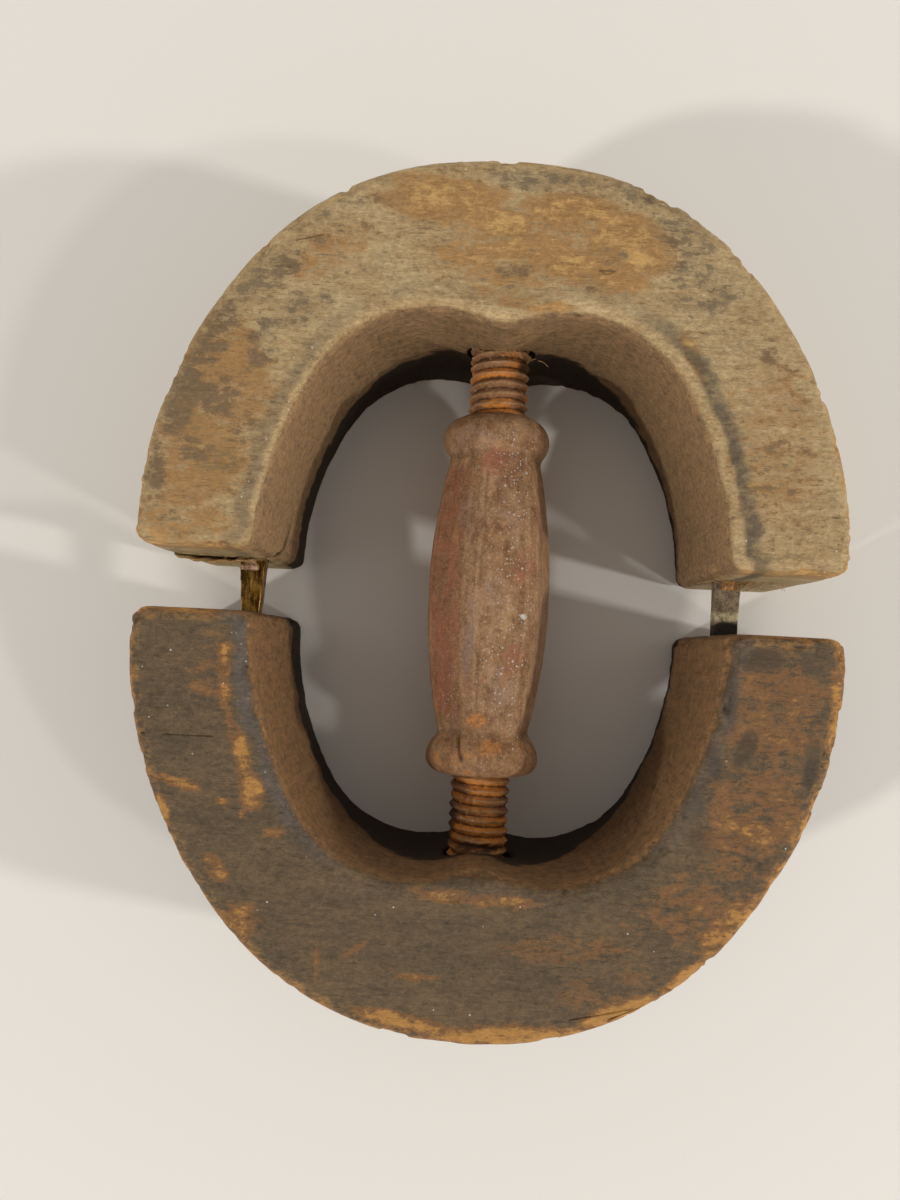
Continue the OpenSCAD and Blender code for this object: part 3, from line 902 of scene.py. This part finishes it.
def make_splinters(tongue):
    """Wood torn off the back half: the peeled sliver, fibres by the tongues and round the stud's hole."""
    lot = np.random.default_rng(71)
    end_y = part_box("back_block")[0].y / MM + 0.4
    boss_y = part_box("back_stud")[1].y / MM - STUD_IN_WOOD
    strips = [peeled_sliver(end_y)]
    for _ in range(22):
        start = lot.uniform((58, end_y, 30), (72, end_y, 36))
        run = lot.choice((-1, -1, -1, 0.4)) * lot.uniform(3, 9)
        strips.append(torn_strip(lot, start, run, (0.6, 2.6), (-0.5, 2.5), (0.4, 1.1)))
    for _ in range(9):
        start = lot.uniform((-64, end_y, 32), (-55, end_y, 35))
        run = lot.choice((-1, 1)) * lot.uniform(2, 5)
        strips.append(torn_strip(lot, start, run, (0.8, 2.6), (-1, 1), (0.3, 0.8)))
    for turn in np.radians(np.linspace(-35, 75, 14)):
        out = lot.uniform(8.4, 10.5)
        start = (out * np.sin(turn), boss_y + 0.5, 28 + out * np.cos(turn))
        run = lot.uniform(-3, 4)
        strips.append(torn_strip(lot, start, run, (1, 2.8), (-2, 1), (0.3, 0.8)))
    piece = new_piece("back_half_splinters", grid_mesh("back_half_splinters", strips))
    settle(piece, "back_half", "back_wood", split_wood_finish("torn_fibres", tongue.splinter, "x"))


def make_grip(iron):
    """The cast grip: six flats with soft ridges, a seam along the top, a nicked front bead."""
    piece = even_copy("grip", "turnbuckle_grip", iron.mesh)
    skin = Skin(piece)
    low, high = (np.array(corner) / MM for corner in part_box("grip"))
    axis_z = (low[2] + high[2]) / 2
    x, y, z = skin.points.T.copy()
    outside = smooth(np.hypot(x, z - axis_z), 8.6, 9.6)
    angle = np.degrees(np.arctan2(x, z - axis_z))
    front_neck, back_neck = low[1] + BEAD, high[1] - BEAD
    barrel = smooth(y, front_neck, front_neck + 5) * (1 - smooth(y, back_neck - 5, back_neck))
    at_neck = (1 - np.minimum(np.abs(y - front_neck), np.abs(y - back_neck)) / 5).clip(0, 1)
    skin.relax(outside * (0.5 + 0.4 * at_neck), 26)
    ridge = smooth(skin.bulge(6), 0.05, 0.11) * barrel
    lumps = 0.22 * noise(skin.points, (5, 11, 5), 41) + 0.16 * noise(skin.points, 1.6, 42)
    upward = smooth(z, axis_z, axis_z + 5)
    waver = 2.5 * noise(skin.points, (60, 9, 60), 43)
    seam = smooth(2.2 - np.abs(angle + 9.5 - waver), 0, 1.8) * barrel * upward
    seam *= smooth(noise(skin.points, (60, 7, 60), 46), 0.25, 0.7)
    on_bead = smooth(y, low[1] + 3, low[1] + 5) * smooth(front_neck + 1 - y, 0, 2) * upward
    wander = 1.4 * noise(skin.points, 1.7, 47) + 0.22 * (y - low[1] - 7)
    nick = smooth(0.8 - np.abs(x + 4.6 + wander), 0, 0.8) * on_bead
    crack = smooth(0.3 - np.abs(x + 0.9), 0, 0.3) * on_bead
    chip = smooth(1.3 - np.hypot(x - 8.4, y + 2.4) - 0.8 * noise(skin.points, 0.9, 44), 0, 0.3) * upward
    skin.push(-outside * (lumps + 0.3 * seam + 0.9 * nick + 0.3 * crack) + 0.15 * chip)
    skin.store()
    spots = skin.points
    front = smooth(front_neck + 1 - y, 0, 3)
    hollow = at_neck * smooth(-skin.bulge(3), 0.02, 0.2)
    skin.paint(
        outside,
        ridge=np.maximum(ridge, soft_spots(spots, GRIP_PALE)) * upward,
        red=np.maximum(0.8 * smooth(-angle, -8, 56) * barrel, soft_spots(spots, GRIP_RED) * upward),
        grey=soft_spots(spots, GRIP_GREY) * upward,
        fresh=np.maximum(0.45 * front, soft_spots(spots, GRIP_FRESH) * upward),
        dirt=np.max((0.5 * nick, 0.4 * seam, 0.35 * hollow), axis=0),
        bright=soft_spots(spots, GRIP_BRIGHT) * upward,
        chip=chip,
    )
    settle(piece, "turnbuckle", "grip_iron", rust_finish("grip_rust", iron), "grip")


def make_stud(name, node, body, hand, brown, grease, iron):
    """A threaded stud: hand is 1 for a right-hand thread and -1 for a left-hand one.

    brown is how far its rust leans from orange to brown, and grease a list of greasy spots.
    """
    low, high = (np.array(corner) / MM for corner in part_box(node))
    crest = (high[0] - low[0]) / 2
    axis_z = (low[2] + high[2]) / 2
    pitch, deep = iron.pitch / MM, iron.thread_depth / MM
    sides, rings_per_turn = 140, 16
    count = int((high[1] - low[1]) / pitch * rings_per_turn)
    round_it = np.arange(sides) * 2 * np.pi / sides
    y, angle = np.meshgrid(np.linspace(low[1], high[1], count), round_it, indexing="ij")
    turn = y / pitch - hand * angle / (2 * np.pi)
    wave = 1 - np.abs(2 * (turn - np.round(turn)))
    near_end = np.minimum(y - low[1], high[1] - y)
    radius = np.minimum(crest - deep * (1 - wave), crest - deep - 0.6 + near_end)
    flat = np.stack([np.sin(angle) * radius, y, np.cos(angle) * radius], -1).reshape(-1, 3)
    crests = wave.ravel()
    eaten = 0.25 * noise(flat, 0.8, 51) + 0.45 * noise(flat, (2.4, 1, 2.4), 52) * crests
    eaten += 0.5 * smooth(noise(flat, 1.3, 54), 0.62, 0.85) * crests
    eaten -= 0.5 * smooth(noise(flat, 1.5, 55), 0.66, 0.9) * (1 - crests)
    radius = radius - eaten.reshape(radius.shape)
    rings = np.stack([np.sin(angle) * radius, y, axis_z + np.cos(angle) * radius], -1)
    piece = new_piece(name, grid_mesh(name, [rings]))
    skin = Skin(piece)
    # Colour changes along the thread, from turn to turn, and not across it
    along = np.round(turn) + hand * angle / (2 * np.pi)
    along = np.outer(along.ravel(), (5.1, 0, 0))
    tint = 1.6 * noise(along, 1, 53) - 0.8 + brown
    skin.paint(crest=crests, tint=tint, grease=soft_spots(skin.points, grease))
    settle(piece, body, "thread_iron", thread_finish(name + "_rust", iron), node)


def make_tongue(name, node, finish, slot, size, seed):
    """A guide tongue with soft edges and a hammered face: the left one is dented, the right one marked."""
    piece = even_copy(node, name, size)
    skin = Skin(piece)
    skin.relax(0.5, 6)
    dents = 0.16 * noise(skin.points, (2.2, 5, 2.2), seed)
    skin.push(-dents - 0.1 * noise(skin.points, (0.8, 7, 0.8), seed + 1))
    if node == "left_guide":
        dent = np.linalg.norm((skin.points - (-59.2, 2.6, 28)) / (1.6, 2.4, 2.0), axis=1)
        skin.push(-0.5 * smooth(1.2 - dent, 0, 0.8))
    else:
        x, y, _ = skin.points.T
        bowed = y + 0.1 * (x - x.mean()) ** 2
        # Painted shadow of the front half on the tongue's end, and a pale patch beside it
        skin.paint(black=1 - smooth(bowed, -0.8, 0), pale=smooth(1.6 - np.abs(y - 0.8), 0, 1))
    skin.store()
    settle(piece, "back_half", slot, finish, node)


def make_wedge(name, node, finish, size, seed, flare):
    """A wooden wedge with torn fibres along it; its head is battered out by flare times its size."""
    piece = even_copy(node, name, size)
    skin = Skin(piece)
    skin.relax(0.5, 3)
    head = 1 - smooth(skin.points[:, 1] - skin.lowest[1], 0.8, 2.2)
    middle_x = (skin.lowest[0] + skin.highest[0]) / 2
    skin.points[:, 0] += flare * head * (skin.points[:, 0] - middle_x)
    skin.points[:, 2] += 0.5 * flare * head * (skin.points[:, 2] - skin.lowest[2])
    # The box that the points are kept in grows with the head
    room = flare * HEAD_ROOM
    skin.lowest[0] -= room
    skin.highest += (room, 0, room)
    skin.push(-0.3 * noise(skin.points, (0.7, 6, 0.7), seed) - 0.18 * noise(skin.points, 0.9, seed + 1))
    skin.store()
    settle(piece, "back_half", "wedge_wood", finish, node)


class HAT_OT_halves(bpy.types.Operator):
    """Carve the two wooden halves"""

    bl_idname = "hat.halves"
    bl_label = "Wooden halves"

    def execute(self, context):
        make_back_half(context.scene.hat_back_wood)
        make_front_half(context.scene.hat_front_wood)
        return {"FINISHED"}


class HAT_OT_grip(bpy.types.Operator):
    """Cast the six-sided grip of the turnbuckle"""

    bl_idname = "hat.grip"
    bl_label = "Grip"

    def execute(self, context):
        make_grip(context.scene.hat_iron)
        return {"FINISHED"}


class HAT_OT_studs(bpy.types.Operator):
    """Cut the two threaded studs, one right-hand and one left-hand"""

    bl_idname = "hat.studs"
    bl_label = "Threaded studs"

    def execute(self, context):
        iron = context.scene.hat_iron
        make_stud("back_thread", "back_stud", "back_half", 1, 0.6, [(7, 60, 3, 2, 0, 0.8)], iron)
        dark = [(-9, -53, 3.4, 8, 0, 0.9), (0, -59, 9, 1.4, 0, 0.7)]
        make_stud("front_thread", "front_stud", "front_half", -1, 0.35, dark, iron)
        return {"FINISHED"}


class HAT_OT_tongues(bpy.types.Operator):
    """Shape the two guide tongues, the wedges that hold them and the fibres they tore out"""

    bl_idname = "hat.tongues"
    bl_label = "Guide tongues and wedges"

    def execute(self, context):
        tongue = context.scene.hat_tongue
        brass = brass_finish("old_brass", tongue)
        steel = steel_finish("mottled_iron", tongue)
        make_tongue("left_tongue", "left_guide", brass, "tongue_brass", tongue.mesh, 61)
        make_tongue("right_tongue", "right_guide", steel, "tongue_iron", tongue.mesh, 63)
        peg = split_wood_finish("peg_wood", tongue.peg, "y")
        wedge = split_wood_finish("wedge_wood", tongue.wedge, "y")
        make_wedge("left_peg", "left_guide_wedge", peg, tongue.wedge_mesh, 65, 0.7)
        make_wedge("right_wedge", "right_guide_wedge", wedge, tongue.wedge_mesh, 67, 0.15)
        make_splinters(tongue)
        return {"FINISHED"}


class HAT_OT_fixings(bpy.types.Operator):
    """Finish the nuts, washers and plugs inside the wood"""

    bl_idname = "hat.fixings"
    bl_label = "Nuts, washers and plugs"

    def execute(self, context):
        iron = plain_iron_finish("hidden_iron", context.scene.hat_iron)
        plug = split_wood_finish("plug_wood", context.scene.hat_back_wood.pale, "x")
        for end in ("back", "front"):
            for kind, finish in (("nut", iron), ("washer", iron), ("nut_plug", plug)):
                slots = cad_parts[f"{end}_{kind}"].data.materials
                slots.clear()
                slots.append(finish)
        return {"FINISHED"}


# The photograph, in pixels: its size, its focal length, the point straight below the camera and the middle
# of the top faces; then the camera's turn in degrees and its height over the top faces in metres
PHOTO_SIZE = (900, 1200)
FOCAL_PX = 901
NADIR_PX = (478, 650)
TOP_PX = (490, 602.5)
TURN = 2.8
CAMERA_RISE = 0.199
# Distance of the lamps from the object and half the floor's width, in metres
LAMP_AWAY = 2.5
FLOOR_REACH = 3
# Heights of a direction, from 0 to 1, between which the light all round fades; then its colour
SKY_FADE = (0.25, 0.6)
SKY_COLOUR = (1, 0.985, 0.96, 1)


def photo_camera():
    """A camera straight above the object, shifted as the photograph is framed."""
    camera = bpy.data.objects.new("photo_camera", bpy.data.cameras.new("photo_camera"))
    bpy.context.scene.collection.objects.link(camera)
    off = Vector((NADIR_PX[0] - TOP_PX[0], TOP_PX[1] - NADIR_PX[1], 0)) * CAMERA_RISE / FOCAL_PX
    turn = Matrix.Rotation(math.radians(TURN), 3, "Z")
    camera.location = turn @ off + Vector((0, 0, CAD_BOX[1].z + CAMERA_RISE))
    camera.rotation_euler = turn.to_euler()
    camera.data.lens = camera.data.sensor_width * FOCAL_PX / PHOTO_SIZE[1]
    camera.data.shift_x = (PHOTO_SIZE[0] / 2 - NADIR_PX[0]) / PHOTO_SIZE[1]
    camera.data.shift_y = (NADIR_PX[1] - PHOTO_SIZE[1] / 2) / PHOTO_SIZE[1]
    bpy.context.scene.camera = camera


def area_lamp(name, bearing, rise, power, size):
    """A square lamp turned to the object from LAMP_AWAY metres; bearing and rise in degrees."""
    lamp = bpy.data.objects.new(name, bpy.data.lights.new(name, "AREA"))
    bpy.context.scene.collection.objects.link(lamp)
    lamp.data.energy = power
    lamp.data.size = size
    turn = Matrix.Rotation(math.radians(bearing), 3, "Z") @ Matrix.Rotation(math.radians(-rise), 3, "Y")
    lamp.location = turn @ Vector((LAMP_AWAY, 0, 0))
    lamp.rotation_euler = lamp.location.to_track_quat("Z", "Y").to_euler()


def sky_light(stage):
    """Even light all round that is brighter low down than overhead."""
    world = bpy.data.worlds.new("studio")
    bpy.context.scene.world = world
    sky = Nodes(world)
    here = sky.node("ShaderNodeTexCoord").outputs["Generated"]
    height = sky.node("ShaderNodeSeparateXYZ", sockets={0: here}).outputs["Z"]
    sockets = dict(enumerate((height, *SKY_FADE, stage.sky_low, stage.sky_high)))
    fade = sky.node("ShaderNodeMapRange", {"interpolation_type": "SMOOTHSTEP"}, sockets)
    ground = sky.tree.nodes["Background"].inputs
    sky.feed(ground["Strength"], fade.outputs[0])
    sky.feed(ground["Color"], SKY_COLOUR)


class HAT_OT_stage(bpy.types.Operator):
    """Lay a pale floor, light it softly and set the camera as in the photograph"""

    bl_idname = "hat.stage"
    bl_label = "Stage"

    def execute(self, context):
        stage = context.scene.hat_stage
        mesh = bpy.data.meshes.new("floor")
        corners = np.array([(-1, -1, 0), (1, -1, 0), (1, 1, 0), (-1, 1, 0)]) * FLOOR_REACH
        mesh.from_pydata(corners.tolist(), [], [(0, 1, 2, 3)])
        floor = new_piece("floor", mesh)
        f = Finish("pale_floor")
        f.feed(f.shader.inputs["Base Color"], linear(stage.floor))
        f.feed(f.shader.inputs["Roughness"], 0.9)
        mesh.materials.append(f.material)
        sky_light(stage)
        area_lamp("right_lamp", -11, 27, stage.right_lamp, stage.lamp_size)
        area_lamp("high_lamp", -27, 40, stage.high_lamp, stage.lamp_size)
        area_lamp("left_lamp", 212, 34, stage.left_lamp, stage.lamp_size)
        photo_camera()
        context.scene.view_settings.view_transform = "Standard"
        return {"FINISHED"}


OPERATORS = (
    HAT_OT_stage,
    HAT_OT_halves,
    HAT_OT_grip,
    HAT_OT_studs,
    HAT_OT_tongues,
    HAT_OT_fixings,
)


class HAT_PT_pieces(bpy.types.Panel):
    """Buttons that make the pieces of the hat stretcher"""

    bl_label = "Hat Stretcher"
    bl_space_type = "VIEW_3D"
    bl_region_type = "UI"
    bl_category = "Hat Stretcher"

    def draw(self, context):
        for operator in OPERATORS:
            self.layout.operator(operator.bl_idname)


SETTINGS = {
    "hat_back_wood": BackWoodSettings,
    "hat_front_wood": FrontWoodSettings,
    "hat_iron": IronSettings,
    "hat_tongue": TongueSettings,
    "hat_stage": StageSettings,
}
CLASSES = (*SETTINGS.values(), *OPERATORS, HAT_PT_pieces)


def register():
    """Adds the classes and gives the scene its settings."""
    for cls in CLASSES:
        bpy.utils.register_class(cls)
    for name, cls in SETTINGS.items():
        setattr(bpy.types.Scene, name, PointerProperty(type=cls))


def unregister():
    """Takes the settings and the classes away again."""
    for name in SETTINGS:
        delattr(bpy.types.Scene, name)
    for cls in reversed(CLASSES):
        bpy.utils.unregister_class(cls)


def main():
    """Registers the classes and makes all the pieces."""
    register()
    for operator in OPERATORS:
        group, name = operator.bl_idname.split(".")
        getattr(getattr(bpy.ops, group), name)()


if __name__ == "__main__":
    main()
